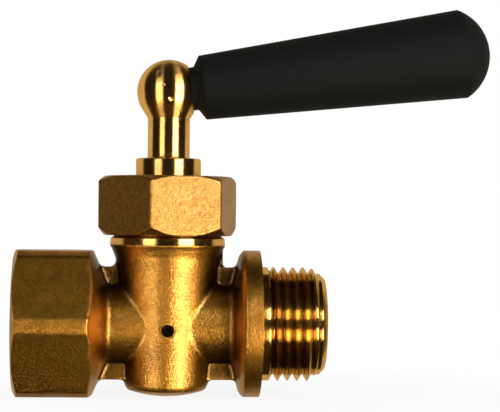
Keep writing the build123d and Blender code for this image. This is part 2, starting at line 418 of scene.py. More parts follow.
@dataclass(frozen=True)
class PlainFinish(Finish):
    """A moulded, pressed, plated or greased surface with a fine grain and small changes of shade."""

    name: str
    colour: str
    second_colour: str
    roughness: float
    grain_mm: float
    grain_height_mm: float
    patch_mm: float
    metallic: float = 0.0
    specular: float = 0.5
    roughness_spread: float = 0.06

    def shader(self, tree: NodeTree, place: NodeSocket) -> Node:
        """Adds the plain shader.

        Args:
            tree: The material's tree.
            place: Object coordinates.

        Returns:
            The shader's node.
        """
        patch = {"Vector": place, "Scale": 1 / (self.patch_mm * MM), "Detail": 3.0}
        patches = add_node(tree, "ShaderNodeTexNoise", patch)
        fine = {"Vector": place, "Scale": 1 / (self.grain_mm * MM), "Detail": 2.0}
        grain = add_node(tree, "ShaderNodeTexNoise", fine)
        # Inputs 6 and 7 are the two colours of a colour mix.
        colour = add_node(
            tree,
            "ShaderNodeMix",
            {"Factor": patches, 6: hex_colour(self.colour), 7: hex_colour(self.second_colour)},
            data_type="RGBA",
        )
        low = self.roughness - self.roughness_spread
        high = self.roughness + self.roughness_spread
        rough = add_node(tree, "ShaderNodeMapRange", {"Value": patches, "To Min": low, "To Max": high})
        relief = {"Distance": self.grain_height_mm * MM, "Height": grain}
        return add_node(
            tree,
            "ShaderNodeBsdfPrincipled",
            {
                "Base Color": colour,
                "Metallic": self.metallic,
                "Roughness": rough,
                "Specular IOR Level": self.specular,
                "Normal": add_node(tree, "ShaderNodeBump", relief),
            },
        )


# What blasting leaves: a satin skin that breaks highlights into specks. The grit's craters are about
# 0.1 mm wide, too fine to show on the whole valve, so they are drawn three to four times as coarse.
BLASTING = {
    "roughness": 0.38,
    "roughness_spread": 0.04,
    "grain_mm": 0.27,
    "crater_mm": 0.42,
    "crater_depth_mm": 0.012,
}

# Hot forged brass, blasted after trimming, with brown clouds where the forging scale was thicker
# and painted shade that darkens its recesses. The film of oxide pales the highlights. The
# scratches are on the barrel's shoulder and the socket's front flats, with one curved die mark.
FORGED = BrassFinish(
    "forged_brass_blasted",
    colour="#C38C32",
    tarnish="#8C4A1E",
    edge_tint="#D2BC90",
    film=0.5,
    film_roughness=0.14,
    grain_height_mm=0.075,
    # Painted sparkle: each crater's colour is scaled at random by up to a fifth.
    painted_sparkle=0.2,
    painted_shade_mm=9.0,
    painted_shade_darkest=0.12,
    marks=(
        Mark((-33.7, -10.0, 9.1), (-33.4, -11.3, 6.9), 0.4, 0.025),
        Mark((-33.4, -11.3, 6.9), (-33.9, -12.8, 4.3), 0.4, 0.025),
        Mark((-34.8, -13.8, -2.6), (-32.4, -11.9, -5.9), 0.35, 0.018),
        Mark((-33.9, -13.7, -2.7), (-31.9, -12.2, -5.4), 0.35, 0.018),
        Mark((-22.1, -8.1, 12.6), (-20.5, -8.7, 10.0), 0.35, 0.04),
    ),
    **BLASTING,
)

# Hexagon brass bar, blasted like the body but without its scale: bright, sparkling flats.
BLASTED = BrassFinish(
    "blasted_brass_hexagon",
    colour="#A0732F",
    tarnish="#8C5E28",
    edge_tint="#E8DABC",
    tarnish_share=0.3,
    grain_height_mm=0.08,
    # Painted sparkle: each crater's colour is scaled at random by up to a quarter.
    painted_sparkle=0.25,
    **BLASTING,
)

# Brass turned bright about the stem. The tool's rings, under 0.1 mm apart, are too fine to draw one
# by one, and stretch each highlight along the stem instead. The ball has small dents from handling.
TURNED_STEM = BrassFinish(
    "turned_brass_stem",
    colour="#F1BF69",
    tarnish_share=0.2,
    roughness=0.26,
    streak=1.0,
    streak_axis=Axis.STEM,
    marks=(
        Mark((-19.16, -4.52, 45.8), (-19.0, -4.7, 45.3), 1.1, 0.12),
        Mark((-16.9, -5.7, 41.1), (-16.7, -5.7, 40.8), 0.8, 0.12),
        Mark((-18.2, -5.7, 43.5), (-18.1, -5.7, 43.4), 0.5, 0.07),
        Mark((-17.2, -4.4, 38.7), (-15.4, -4.3, 38.9), 0.35, 0.06),
    ),
)

# Brass turned and threaded about the run: highlights stretch along the thread, and painted shade
# darkens its grooves.
TURNED_RUN = BrassFinish(
    "turned_brass_run",
    colour="#E6B45A",
    tarnish_share=0.25,
    roughness=0.19,
    painted_shade_mm=1.0,
    painted_shade_darkest=0.4,
    streak=0.9,
    streak_axis=Axis.RUN,
)

# A hole drilled through the wall, greased, and coloured near black as painted shade inside the hole.
HOLE_PAINTED_SHADE = PlainFinish(
    "drilled_brass_greased_painted_shade",
    colour="#17110B",
    second_colour="#241A10",
    roughness=0.5,
    specular=0.3,
    grain_mm=0.3,
    grain_height_mm=0.01,
    patch_mm=1.0,
)

# The plug's cone, lapped into its seat and greased: a dark brown film over the brass, kept dark as
# painted shade for the valve's inside that shows through the vent.
GREASED_PAINTED_SHADE = PlainFinish(
    "lapped_brass_greased_painted_shade",
    colour="#2A1F12",
    second_colour="#3A2A18",
    roughness=0.4,
    specular=0.4,
    grain_mm=0.6,
    grain_height_mm=0.01,
    patch_mm=3.0,
)

# Phenolic moulding compound with a matt skin: an even deep black that hardly shines. The mould's
# grain of about 0.1 mm is drawn at 0.35 mm, so that it shows.
PHENOLIC = PlainFinish(
    "phenolic_moulded_black",
    colour="#0B0C0B",
    second_colour="#0F100F",
    roughness=0.75,
    specular=0.15,
    grain_mm=0.35,
    grain_height_mm=0.012,
    patch_mm=9.0,
)

# Zinc plated steel: pale grey with a fine crystalline grain.
ZINC = PlainFinish(
    "zinc_plated_steel_stud",
    colour="#B9BBBD",
    second_colour="#9DA0A4",
    metallic=1.0,
    roughness=0.35,
    grain_mm=0.2,
    grain_height_mm=0.004,
    patch_mm=2.0,
)

# Pressed graphite yarn: nearly black with a greasy sheen.
GRAPHITE = PlainFinish(
    "graphite_packing_pressed",
    colour="#1C1C1E",
    second_colour="#2A2A2D",
    roughness=0.45,
    grain_mm=0.5,
    grain_height_mm=0.04,
    patch_mm=1.5,
)


# ------------------------------------------------------- mesh helpers


def add_object(name: str, mesh: Mesh) -> Object:
    """Puts a mesh into the scene as an object at the origin.

    Args:
        name: The object's name.
        mesh: Its mesh, in place.

    Returns:
        The object.
    """
    thing = bpy.data.objects.new(name, mesh)
    bpy.context.scene.collection.objects.link(thing)
    return thing


def mesh_from(shape: BMesh, name: str, *materials: Material) -> Mesh:
    """Turns a bmesh into a mesh with its materials.

    Args:
        shape: The bmesh, which is freed.
        name: The mesh's name.
        *materials: Materials in the order of the faces' material numbers.

    Returns:
        The mesh.
    """
    mesh = bpy.data.meshes.new(name)
    shape.to_mesh(mesh)
    shape.free()
    for material in materials:
        mesh.materials.append(material)
    return mesh


def smooth_object(name: str, mesh: Mesh, sharp_angle: float) -> Object:
    """Shades a mesh smoothly, but for its sharp edges, and puts it into the scene.

    Args:
        name: The object's name.
        mesh: The mesh.
        sharp_angle: Turn in degrees from which an edge stays sharp.

    Returns:
        The object.
    """
    mesh.shade_smooth()
    mesh.set_sharp_from_angle(angle=math.radians(sharp_angle))
    return add_object(name, mesh)


def evaluated_mesh(carrier: Object, name: str) -> Mesh:
    """Takes an object's mesh with its modifiers applied.

    Args:
        carrier: The object with the modifiers, which is removed.
        name: Name of the new mesh.

    Returns:
        The plain mesh.
    """
    evaluated = carrier.evaluated_get(bpy.context.evaluated_depsgraph_get())
    made = bpy.data.meshes.new_from_object(evaluated)
    made.name = name
    bpy.data.objects.remove(carrier)
    return made


def node_copy(node: Object) -> BMesh:
    """Copies a CAD node's triangles and merges their doubles.

    Args:
        node: The CAD node, which is left as it is.

    Returns:
        The merged copy, with one material number.
    """
    shape = bmesh.new()
    shape.from_mesh(node.data)
    bmesh.ops.remove_doubles(shape, verts=shape.verts, dist=SAME_POINT * MM)
    for face in shape.faces:
        face.material_index = 0
    return shape


def cut_off(shape: BMesh, point: Vector, outward: Vector) -> None:
    """Cuts away what lies beyond a plane and closes the cut.

    Args:
        shape: The shape to cut.
        point: A point of the plane, in millimetres.
        outward: The side to clear.
    """
    everything = shape.verts[:] + shape.edges[:] + shape.faces[:]
    bmesh.ops.bisect_plane(
        shape, geom=everything, plane_co=point * MM, plane_no=outward, clear_outer=True
    )
    bmesh.ops.holes_fill(shape, edges=[e for e in shape.edges if e.is_boundary])


def rounded(points: Profile, radius: float, steps: int = 3) -> Profile:
    """Rounds the inner corners of an open outline.

    Args:
        points: The outline's corners, each an axial place and a radius.
        radius: Largest radius of a rounding, cut back on short sides.
        steps: Number of pieces in each rounding.

    Returns:
        The outline with curves for corners. Nearly straight corners stay as they are.
    """
    nearly_straight = math.radians(12)
    side_share = 0.45
    out: Profile = [points[0]]
    for before, here, after in zip(points, points[1:], points[2:]):
        corner = Vector(here)
        to_before = Vector(before) - corner
        to_after = Vector(after) - corner
        turn = math.pi - to_before.angle(to_after)
        if turn < nearly_straight:
            out.append(here)
            continue
        short_side = min(to_before.length, to_after.length)
        reach = min(radius * math.tan(turn / 2), short_side * side_share)
        start = corner + to_before.normalized() * reach
        end = corner + to_after.normalized() * reach
        for step in range(steps + 1):
            t = step / steps
            point = start * (1 - t) ** 2 + corner * 2 * t * (1 - t) + end * t**2
            out.append((point.x, point.y))
    out.append(points[-1])
    return out


def arc(centre: tuple[float, float], radius: float, start: float, end: float, steps: int) -> Profile:
    """Points of an arc in an outline.

    Args:
        centre: Axial place and radius of the arc's centre.
        radius: The arc's radius.
        start: Start angle in degrees from the axis.
        end: End angle in degrees.
        steps: Number of pieces.

    Returns:
        The points, both ends included.
    """
    angles = [math.radians(start + (end - start) * i / steps) for i in range(steps + 1)]
    return [(centre[0] + radius * math.cos(a), centre[1] + radius * math.sin(a)) for a in angles]


def rod(start: float, end: float, radius: float) -> Profile:
    """Outline of a plain rod between two places on its axis."""
    return [(start, 0.0), (start, radius), (end, radius), (end, 0.0)]


def along_axis(origin: Point, way: Point) -> Matrix:
    """Matrix in millimetres whose X axis starts at a point and runs along a direction."""
    turn = Vector((1, 0, 0)).rotation_difference(Vector(way))
    return Matrix.Translation(origin) @ turn.to_matrix().to_4x4()


ALONG_RUN = along_axis((0, 0, 0), (1, 0, 0))
UP_STEM = along_axis((STEM_X, 0, 0), (0, 0, 1))


def lathe(outline: Profile, place: Matrix, segments: int = SEGMENTS) -> BMesh:
    """Turns an outline about an axis.

    Args:
        outline: Axial places and radii in millimetres, from one end to the other.
        place: Matrix in millimetres whose X axis is the axis of turning.
        segments: Number of steps round the axis.

    Returns:
        A shape in metres, closed if both ends lie on the axis or are the same point.
    """
    shape = bmesh.new()
    rings = []
    for along, radius in outline:
        ring = []
        for step in range(segments if radius > SAME_POINT else 1):
            angle = math.tau * step / segments
            point = Vector((along, radius * math.cos(angle), radius * math.sin(angle)))
            ring.append(shape.verts.new((place @ point) * MM))
        rings.append(ring)
    for low, high in zip(rings, rings[1:]):
        for step in range(segments):
            corners = [
                low[step % len(low)],
                low[(step + 1) % len(low)],
                high[(step + 1) % len(high)],
                high[step % len(high)],
            ]
            kept = list(dict.fromkeys(corners))
            if len(kept) > 2:
                shape.faces.new(kept)
    bmesh.ops.remove_doubles(shape, verts=shape.verts, dist=SAME_POINT * MM)
    bmesh.ops.recalc_face_normals(shape, faces=shape.faces)
    return shape


def join_into(shape: BMesh, *others: BMesh) -> None:
    """Adds other shapes' faces to a shape.

    Args:
        shape: The shape that grows.
        *others: The other shapes, which are freed.
    """
    for other in others:
        carrier = bpy.data.meshes.new("carrier")
        other.to_mesh(carrier)
        other.free()
        shape.from_mesh(carrier)
        bpy.data.meshes.remove(carrier)


def close_seams(shape: BMesh) -> None:
    """Merges the seams of a closed shape and turns its faces outwards."""
    bmesh.ops.remove_doubles(shape, verts=shape.verts, dist=6 * SAME_POINT * MM)
    bmesh.ops.recalc_face_normals(shape, faces=shape.faces)


def soft_skin(shape: BMesh, name: str, voxel: float, passes: int) -> Mesh:
    """Rebuilds overlapping closed shapes as one even skin with soft edges, as a die leaves them.

    Args:
        shape: The closed shapes, which are freed.
        name: Name of the new mesh.
        voxel: Size of the skin's squares in millimetres.
        passes: Smoothing passes, which round the edges.

    Returns:
        The skin.
    """
    carrier = add_object(f"{name}_carrier", mesh_from(shape, f"{name}_blank"))
    skin = carrier.modifiers.new("skin", "REMESH")
    skin.mode = "VOXEL"
    skin.voxel_size = voxel * MM
    smooth = carrier.modifiers.new("smooth", "SMOOTH")
    smooth.factor = 0.5
    smooth.iterations = passes
    return evaluated_mesh(carrier, name)


def waver(mesh: Mesh, wave: float, height: float) -> None:
    """Moves a skin in and out by a smooth unevenness.

    Args:
        mesh: The skin.
        wave: Size of the unevenness along the skin, in millimetres.
        height: Its largest height in millimetres.
    """
    moves = [v.normal * noise.noise(v.co / (wave * MM)) * height * MM for v in mesh.vertices]
    for vertex, move in zip(mesh.vertices, moves):
        vertex.co += move


def machine(blank: Mesh, name: str, cutters: list[Mesh]) -> Mesh:
    """Cuts tools' shapes out of a blank, as a lathe, a drill and a tap do.

    Args:
        blank: The closed blank.
        name: Name of the new mesh.
        cutters: Closed shapes to cut away, in order. Each leaves its own material on its cuts.

    Returns:
        The machined mesh.
    """
    carrier = add_object(f"{name}_carrier", blank)
    tools = [add_object(f"{name}_cutter_{number}", cutter) for number, cutter in enumerate(cutters)]
    for tool in tools:
        cut = carrier.modifiers.new(tool.name, "BOOLEAN")
        cut.operation = "DIFFERENCE"
        cut.solver = "MANIFOLD"
        cut.material_mode = "TRANSFER"
        cut.object = tool
    made = evaluated_mesh(carrier, name)
    for tool in tools:
        bpy.data.objects.remove(tool)
    return made


def place_piece(piece: Object, body: Body, slot: Slot, *nodes: str) -> None:
    """Lets a piece ride on its body and stand for its CAD nodes.

    Args:
        piece: The finished piece.
        body: The body that carries it.
        slot: Not used.
        *nodes: CAD nodes that the piece stands for.
    """
    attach(piece, body.value)
    if nodes:
        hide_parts(*nodes)
    LOG.info("%s rides on %s: %d faces", piece.name, body.value, len(piece.data.polygons))


# ------------------------------------------------------- helical thread


@dataclass(frozen=True)
class ThreadSizes:
    """Sizes of one helical thread, in millimetres, with crest, root and end sizes as radii."""

    start: float
    end: float
    crest: float
    root: float
    start_radius: float
    end_radius: float
    start_fade: float
    end_fade: float
    pitch: float
    lead_angle: float = 0.0
    flat_share: float = 0.1
    rows_per_pitch: int = 20


class HelicalThread:
    """A right-hand thread about the run, made by a Geometry Nodes tree that bends one flat sheet."""

    LENGTHS = (
        "Start",
        "End",
        "Crest",
        "Root",
        "Start Radius",
        "End Radius",
        "Start Fade",
        "End Fade",
        "Pitch",
    )
    FLOATS = (*LENGTHS, "Lead Angle", "Flat Share", "Length")
    # Each step's result, operation and terms. A term is a number, an input or an earlier result.
    STEPS = (
        ("turn", "ADD", "across", 0.5),
        ("along", "MULTIPLY_ADD", "Length", 0.5, "down"),
        ("advance", "MULTIPLY_ADD", "turn", "Pitch", "along"),
        ("first", "MULTIPLY_ADD", "Pitch", -2.0, "Start"),
        ("free place", "ADD", "advance", "first"),
        ("kept place", "MAXIMUM", "free place", "Start"),
        ("place", "MINIMUM", "kept place", "End"),
        ("half pitch", "MULTIPLY", "Pitch", 0.5),
        ("wave", "PINGPONG", "along", "half pitch"),
        ("height", "DIVIDE", "wave", "half pitch"),
        ("rise", "SUBTRACT", "height", "Flat Share"),
        ("double flat", "MULTIPLY_ADD", "Flat Share", -2.0, 1.0),
        ("flank", "DIVIDE", "rise", "double flat"),
        ("depth", "SUBTRACT", "Crest", "Root"),
        ("formed", "MULTIPLY_ADD", "flank", "depth", "Root"),
        ("from start", "SUBTRACT", "free place", "Start"),
        ("start share", "DIVIDE", "from start", "Start Fade"),
        ("over start", "SUBTRACT", "formed", "Start Radius"),
        ("started", "MULTIPLY_ADD", "start share", "over start", "Start Radius"),
        ("to end", "SUBTRACT", "End", "free place"),
        ("end share", "DIVIDE", "to end", "End Fade"),
        ("over end", "SUBTRACT", "started", "End Radius"),
        ("radius", "MULTIPLY_ADD", "end share", "over end", "End Radius"),
        ("angle", "MULTIPLY_ADD", "turn", math.tau, "Lead Angle"),
        ("cosine", "COSINE", "angle"),
        ("sine", "SINE", "angle"),
        ("y", "MULTIPLY", "radius", "cosine"),
        ("z", "MULTIPLY", "radius", "sine"),
    )
    CLAMPED = ("flank", "start share", "end share")

    def __init__(self, name: str, sizes: ThreadSizes) -> None:
        """Keeps the thread's name and sizes."""
        self.name = name
        self.sizes = sizes

    def _tree(self) -> NodeTree:
        """Builds the tree, whose named inputs are the thread's sizes.

        Returns:
            The tree. The sheet's rows follow the helix, so crest and root run along whole rows.
        """
        tree = bpy.data.node_groups.new(f"{self.name}_tree", "GeometryNodeTree")
        for kind, labels in (
            ("NodeSocketFloat", self.FLOATS),
            ("NodeSocketInt", ("Around", "Rows")),
            ("NodeSocketMaterial", ("Material",)),
        ):
            for label in labels:
                tree.interface.new_socket(label, in_out="INPUT", socket_type=kind)
        tree.interface.new_socket("Geometry", in_out="OUTPUT", socket_type="NodeSocketGeometry")
        given = add_node(tree, "NodeGroupInput").outputs
        columns = add_node(tree, "ShaderNodeMath", {0: given["Around"], 1: 1.0}, operation="ADD")
        counts = {"Vertices X": columns, "Vertices Y": given["Rows"]}
        sizes = {"Size X": 1.0, "Size Y": given["Length"]}
        sheet = add_node(tree, "GeometryNodeMeshGrid", sizes | counts)
        position = add_node(tree, "GeometryNodeInputPosition")
        flat = add_node(tree, "ShaderNodeSeparateXYZ", {0: position}).outputs
        known = {label: given[label] for label in self.FLOATS}
        known["across"] = flat["X"]
        known["down"] = flat["Y"]
        for result, operation, *terms in self.STEPS:
            values = {number: known.get(term, term) for number, term in enumerate(terms)}
            clamp = result in self.CLAMPED
            known[result] = add_node(
                tree, "ShaderNodeMath", values, operation=operation, use_clamp=clamp
            )
        bent = {"X": known["place"], "Y": known["y"], "Z": known["z"]}
        spot = add_node(tree, "ShaderNodeCombineXYZ", bent)
        placed = add_node(tree, "GeometryNodeSetPosition", {"Geometry": sheet, "Position": spot})
        joined = {"Geometry": placed, "Distance": 4 * SAME_POINT * MM}
        merged = add_node(tree, "GeometryNodeMergeByDistance", joined)
        real = add_node(tree, "GeometryNodeRealizeInstances", {"Geometry": merged})
        dress = {"Geometry": real, "Material": given["Material"]}
        add_node(tree, "NodeGroupOutput", {0: add_node(tree, "GeometryNodeSetMaterial", dress)})
        return tree

    def sheet(self, material: Material) -> BMesh:
        """Evaluates the tree.

        Args:
            material: The thread's material.

        Returns:
            The thread's surface as a plain bmesh, open at both ends.
        """
        sizes = self.sizes
        steps = math.ceil(((sizes.end - sizes.start) / sizes.pitch + 2) * sizes.rows_per_pitch)
        values: dict[str, Any] = {
            label: getattr(sizes, label.lower().replace(" ", "_")) * MM for label in self.LENGTHS
        }
        values["Lead Angle"] = math.radians(sizes.lead_angle)
        values["Flat Share"] = sizes.flat_share
        values["Length"] = steps * sizes.pitch / sizes.rows_per_pitch * MM
        values["Around"] = SEGMENTS
        values["Rows"] = steps + 1
        values["Material"] = material
        tree = self._tree()
        carrier = add_object(f"{self.name}_carrier", bpy.data.meshes.new(self.name))
        modifier = carrier.modifiers.new("thread", "NODES")
        modifier.node_group = tree
        for item in tree.interface.items_tree:
            if item.in_out == "INPUT":
                modifier[item.identifier] = values[item.name]
        made = evaluated_mesh(carrier, self.name)
        shape = bmesh.new()
        shape.from_mesh(made)
        bpy.data.meshes.remove(made)
        bmesh.ops.dissolve_degenerate(shape, edges=shape.edges, dist=2 * SAME_POINT * MM)
        return shape


# ------------------------------------------------------- valve body


@dataclass
class ValveBody:
    """The forging, machined and tapped, with its boss and its threaded spigot.

    Sizes are radii and places unless their name says otherwise. Places along the run start at the
    collar's face, and heights at the run's axis.
    """

    pitch: float = 25.4 / 14
    major: float = 10.4775
    depth_ratio: float = 0.640327
    collar: float = 13.5
    hexagon_flats: float = 26.5
    hexagon_corner: float = 14.7
    socket_end: float = -45.0
    socket_end_radius: float = 12.75
    chamfer_angle: float = 25.0
    thread_end: float = -34.0
    socket_bottom: float = -32.0
    relief_depth: float = 0.15
    mouth_chamfer: float = 0.7
    spigot_length: float = 12.0
    land: float = 1.4
    nose: float = 1.5
    nose_chamfer: float = 0.9
    bore: float = 3.0
    bore_chamfer: float = 0.4
    vent: float = 1.15
    vent_height: float = -1.0
    barrel: float = 8.5
    foot: float = -13.37
    foot_dome: float = 22.0
    foot_edge: float = 6.75
    foot_rounding: float = 1.1
    foot_slope: float = 65.0
    foot_lip: float = 0.8
    foot_reach: float = 8.4
    seat: float = 6.32
    seat_slope: float = 1 / 12
    seat_bottom: float = -10.5
    chamber: float = 8.0
    chamber_bottom: float = 10.5
    boss_bottom: float = 14.35
    boss_top: float = 22.5
    boss: float = 10.0
    boss_chamfer: float = 0.6
    boss_land: float = 10.65
    boss_land_upper: float = 10.5
    boss_land_top: float = 15.6
    boss_relief: float = 9.7
    boss_relief_start: float = 16.1
    boss_relief_end: float = 16.8
    boss_rounding: float = 0.14
    spigot_rounding: float = 0.15
    allowance: float = 0.6
    stock_length: float = 2.4
    wall: float = 0.6
    vent_skin: float = 0.1
    overlap: float = 1.0
    overrun: float = 2.0
    far: float = 20.0
    voxel: float = 0.3
    passes: int = 3
    wave: float = 4.0
    wave_height: float = 0.05

    @property
    def minor(self) -> float:
        """Radius at the male thread's roots and the female thread's crests."""
        return self.major - self.depth_ratio * self.pitch

    @property
    def front(self) -> Matrix:
        """Frame along the vent, from the stem's axis to the front."""
        return along_axis((STEM_X, 0, self.vent_height), (0, -1, 0))

    def seat_at(self, height: float) -> float:
        """Radius of the plug's seat at a height."""
        return self.seat + self.seat_slope * height

    def hexagon_stock(self) -> BMesh:
        """Builds the stock beyond the socket's end, a hexagon with its corners turned down.

        Returns:
            The closed stock.
        """
        shape = bmesh.new()
        start = self.socket_end - self.allowance
        ring = []
        for step in range(SEGMENTS):
            angle = math.tau * (step + 0.5) / SEGMENTS
            from_flat = angle % (math.pi / 3) - math.pi / 6
            radius = min(self.hexagon_flats / 2 / math.cos(from_flat), self.hexagon_corner)
            place = Vector((start, radius * math.cos(angle), radius * math.sin(angle)))
            ring.append(shape.verts.new(place * MM))
        face = shape.faces.new(ring)
        moved = bmesh.ops.extrude_face_region(shape, geom=[face])
        verts = [part for part in moved["geom"] if isinstance(part, bmesh.types.BMVert)]
        bmesh.ops.translate(shape, verts=verts, vec=(self.stock_length * MM, 0, 0))
        bmesh.ops.recalc_face_normals(shape, faces=shape.faces)
        return shape

    def blank(self, node: Object) -> Mesh:
        """Builds the raw forging: the CAD body's outside, solid and with stock on its ends.

        Args:
            node: The CAD body.

        Returns:
            One even skin with soft edges.
        """
        allowance, wall = self.allowance, self.wall
        shape = node_copy(node)
        cut_off(shape, Vector((-allowance, 0, 0)), Vector((1, 0, 0)))
        plug_room = [
            (self.seat_bottom - wall, 0.0),
            (self.seat_bottom - wall, self.seat_at(self.seat_bottom)),
            (self.chamber_bottom, self.seat_at(self.chamber_bottom) + wall),
            (self.chamber_bottom - wall, self.chamber + wall),
            (self.boss_top + wall, self.chamber + wall),
            (self.boss_top + wall, 0.0),
        ]
        socket = (self.socket_end - allowance, self.socket_bottom + wall, self.major + 2 * wall)
        # Each filling closes one hollow of the CAD body and reaches a wall's thickness into it.
        fillings = (
            (rod(-2 * allowance, allowance, self.collar), ALONG_RUN),
            (rod(self.socket_bottom - self.overlap, -self.overlap, self.bore + wall), ALONG_RUN),
            (rod(*socket), ALONG_RUN),
            (plug_room, UP_STEM),
            (rod(0.0, self.barrel - self.vent_skin, self.vent + wall), self.front),
        )
        for outline, place in fillings:
            join_into(shape, lathe(outline, place, segments=64))
        join_into(shape, self.hexagon_stock())
        skin = soft_skin(shape, "raw_forging", self.voxel, self.passes)
        waver(skin, self.wave, self.wave_height)
        return skin

    def tap(self) -> BMesh:
        """Builds the socket's bore with its thread as one closed cutter.

        Returns:
            The closed cutter.
        """
        mouth_end = self.socket_end + self.major - self.minor + self.mouth_chamfer
        relief = self.major + self.relief_depth
        sizes = ThreadSizes(
            start=mouth_end,
            end=self.thread_end,
            crest=self.minor,
            root=self.major,
            start_radius=self.minor,
            end_radius=relief,
            start_fade=0.6,
            end_fade=0.4,
            pitch=self.pitch,
        )
        shape = HelicalThread("socket_thread", sizes).sheet(TURNED_RUN.material())
        mouth_start = self.socket_end - self.overlap
        mouth = [
            (mouth_start, 0.0),
            (mouth_start, self.major + self.mouth_chamfer + self.overlap),
            (mouth_end, self.minor),
        ]
        bottom = rod(self.thread_end, self.socket_bottom, relief)[1:]
        join_into(shape, lathe(mouth, ALONG_RUN), lathe(bottom, ALONG_RUN))
        close_seams(shape)
        return shape

    def foot_outline(self) -> Profile:
        """Outline of what lies below the barrel's domed foot with its rounded edge.

        Returns:
            The outline about the stem.
        """
        span = math.asin(self.foot_edge / self.foot_dome)
        dome_end = 180 - math.degrees(span)
        slope = math.radians(self.foot_slope)
        below = self.foot - self.overrun
        dome = arc((self.foot + self.foot_dome, 0.0), self.foot_dome, 180, dome_end, steps=16)
        centre = (
            dome[-1][0] + self.foot_rounding * math.cos(span),
            dome[-1][1] - self.foot_rounding * math.sin(span),
        )
        edge = arc(centre, self.foot_rounding, dome_end, 180 - self.foot_slope, steps=8)[1:]
        lip = (
            edge[-1][0] + self.foot_lip * math.sin(slope),
            edge[-1][1] + self.foot_lip * math.cos(slope),
        )
        outer = self.foot_reach
        return [*dome, *edge, lip, (lip[0], outer), (below, outer), (below, 0.0)]

    def end_chamfer_outline(self) -> Profile:
        """Outline of what the chamfer takes off the socket's corners.

        Returns:
            The outline about the run.
        """
        before = self.socket_end - self.overrun
        rise = self.overrun / math.tan(math.radians(self.chamfer_angle))
        low = (before, self.socket_end_radius - rise)
        high = self.socket_end_radius + rise
        return [low, (self.socket_end + self.overrun, high), (before, high), low]

    def cutters(self) -> list[Mesh]:
        """Builds the closed shapes that trimming and machining take away.

        Returns:
            The cutters in the order of work, each with the finish that it leaves.
        """
        end, overrun = self.socket_end, self.overrun
        top = self.boss_top + overrun
        passage = rod(self.socket_bottom - self.overlap, overrun, self.bore)
        vent = rod(0.0, self.barrel + overrun, self.vent)
        seat = [
            (self.seat_bottom, 0.0),
            (self.seat_bottom, self.seat_at(self.seat_bottom)),
            (self.chamber_bottom, self.seat_at(self.chamber_bottom)),
            *rod(self.chamber_bottom, top, self.chamber)[1:],
        ]
        shapes = (
            ("socket_tap", self.tap(), TURNED_RUN),
            ("end_facing", lathe(rod(end, end - overrun, self.far), ALONG_RUN), TURNED_RUN),
            ("end_chamfer", lathe(self.end_chamfer_outline(), ALONG_RUN), FORGED),
            ("foot", lathe(self.foot_outline(), UP_STEM), FORGED),
            ("face_facing", lathe(rod(0.0, overrun, self.far), ALONG_RUN), TURNED_RUN),
            ("top_facing", lathe(rod(self.boss_bottom, top, self.far), UP_STEM), TURNED_STEM),
            ("seat_reamer", lathe(seat, UP_STEM), TURNED_STEM),
            ("passage_drill", lathe(passage, ALONG_RUN), TURNED_RUN),
            # The vent's walls take the near-black painted shade.
            ("vent_drill", lathe(vent, self.front), HOLE_PAINTED_SHADE),
        )
        return [mesh_from(shape, name, finish.material()) for name, shape, finish in shapes]

    def forging(self, node: Object) -> Object:
        """Builds the machined forging.

        Args:
            node: The CAD body.

        Returns:
            The piece.
        """
        blank = self.blank(node)
        blank.materials.clear()
        blank.materials.append(FORGED.material())
        return smooth_object("forging", machine(blank, "forging", self.cutters()), sharp_angle=30)

    def boss_piece(self) -> Object:
        """Builds the land, the thread relief and the boss that the gland nut screws onto.

        Returns:
            The piece.
        """
        outline = [
            (self.boss_bottom, self.chamber),
            (self.boss_bottom, self.boss_land),
            (self.boss_land_top, self.boss_land_upper),
            (self.boss_relief_start, self.boss_relief),
            (self.boss_relief_end, self.boss_relief),
            (self.boss_relief_end + self.boss - self.boss_relief, self.boss),
            (self.boss_top - self.boss_chamfer, self.boss),
            (self.boss_top, self.boss - self.boss_chamfer),
            (self.boss_top, self.chamber),
            (self.boss_bottom, self.chamber),
        ]
        shape = lathe(rounded(outline, self.boss_rounding), UP_STEM)
        mesh = mesh_from(shape, "boss_and_land", TURNED_STEM.material())
        return smooth_object("boss_and_land", mesh, sharp_angle=35)

    def spigot(self) -> Object:
        """Builds the male thread with its nose and bore.

        Returns:
            The piece.
        """
        material = TURNED_RUN.material()
        thread_end = self.spigot_length - self.nose
        sizes = ThreadSizes(
            start=self.land,
            end=thread_end,
            crest=self.major,
            root=self.minor,
            start_radius=self.major,
            end_radius=self.minor,
            start_fade=0.7,
            end_fade=0.9,
            pitch=self.pitch,
            lead_angle=32.5,
        )
        shape = HelicalThread("spigot_thread", sizes).sheet(material)
        ends = [
            (thread_end, self.minor),
            (self.spigot_length - self.nose_chamfer, self.minor),
            (self.spigot_length, self.minor - self.nose_chamfer),
            (self.spigot_length, self.bore + self.bore_chamfer),
            (self.spigot_length - self.bore_chamfer, self.bore),
            (0.0, self.bore),
            (0.0, self.major),
            (self.land, self.major),
        ]
        join_into(shape, lathe(rounded(ends, self.spigot_rounding), ALONG_RUN))
        close_seams(shape)
        return smooth_object("spigot", mesh_from(shape, "spigot", material), sharp_angle=35)

    def build(self, nodes: dict[str, Object]) -> None:
        """Builds the forging, the boss and the spigot in place of the CAD body.

        Args:
            nodes: The CAD nodes by name.
        """
        place_piece(self.forging(nodes["valve_body"]), Body.VALVE, Slot.FORGED, "valve_body")
        place_piece(self.boss_piece(), Body.VALVE, Slot.TURNED)
        place_piece(self.spigot(), Body.VALVE, Slot.TURNED)


# ------------------------------------------------------- plug, stem and ball


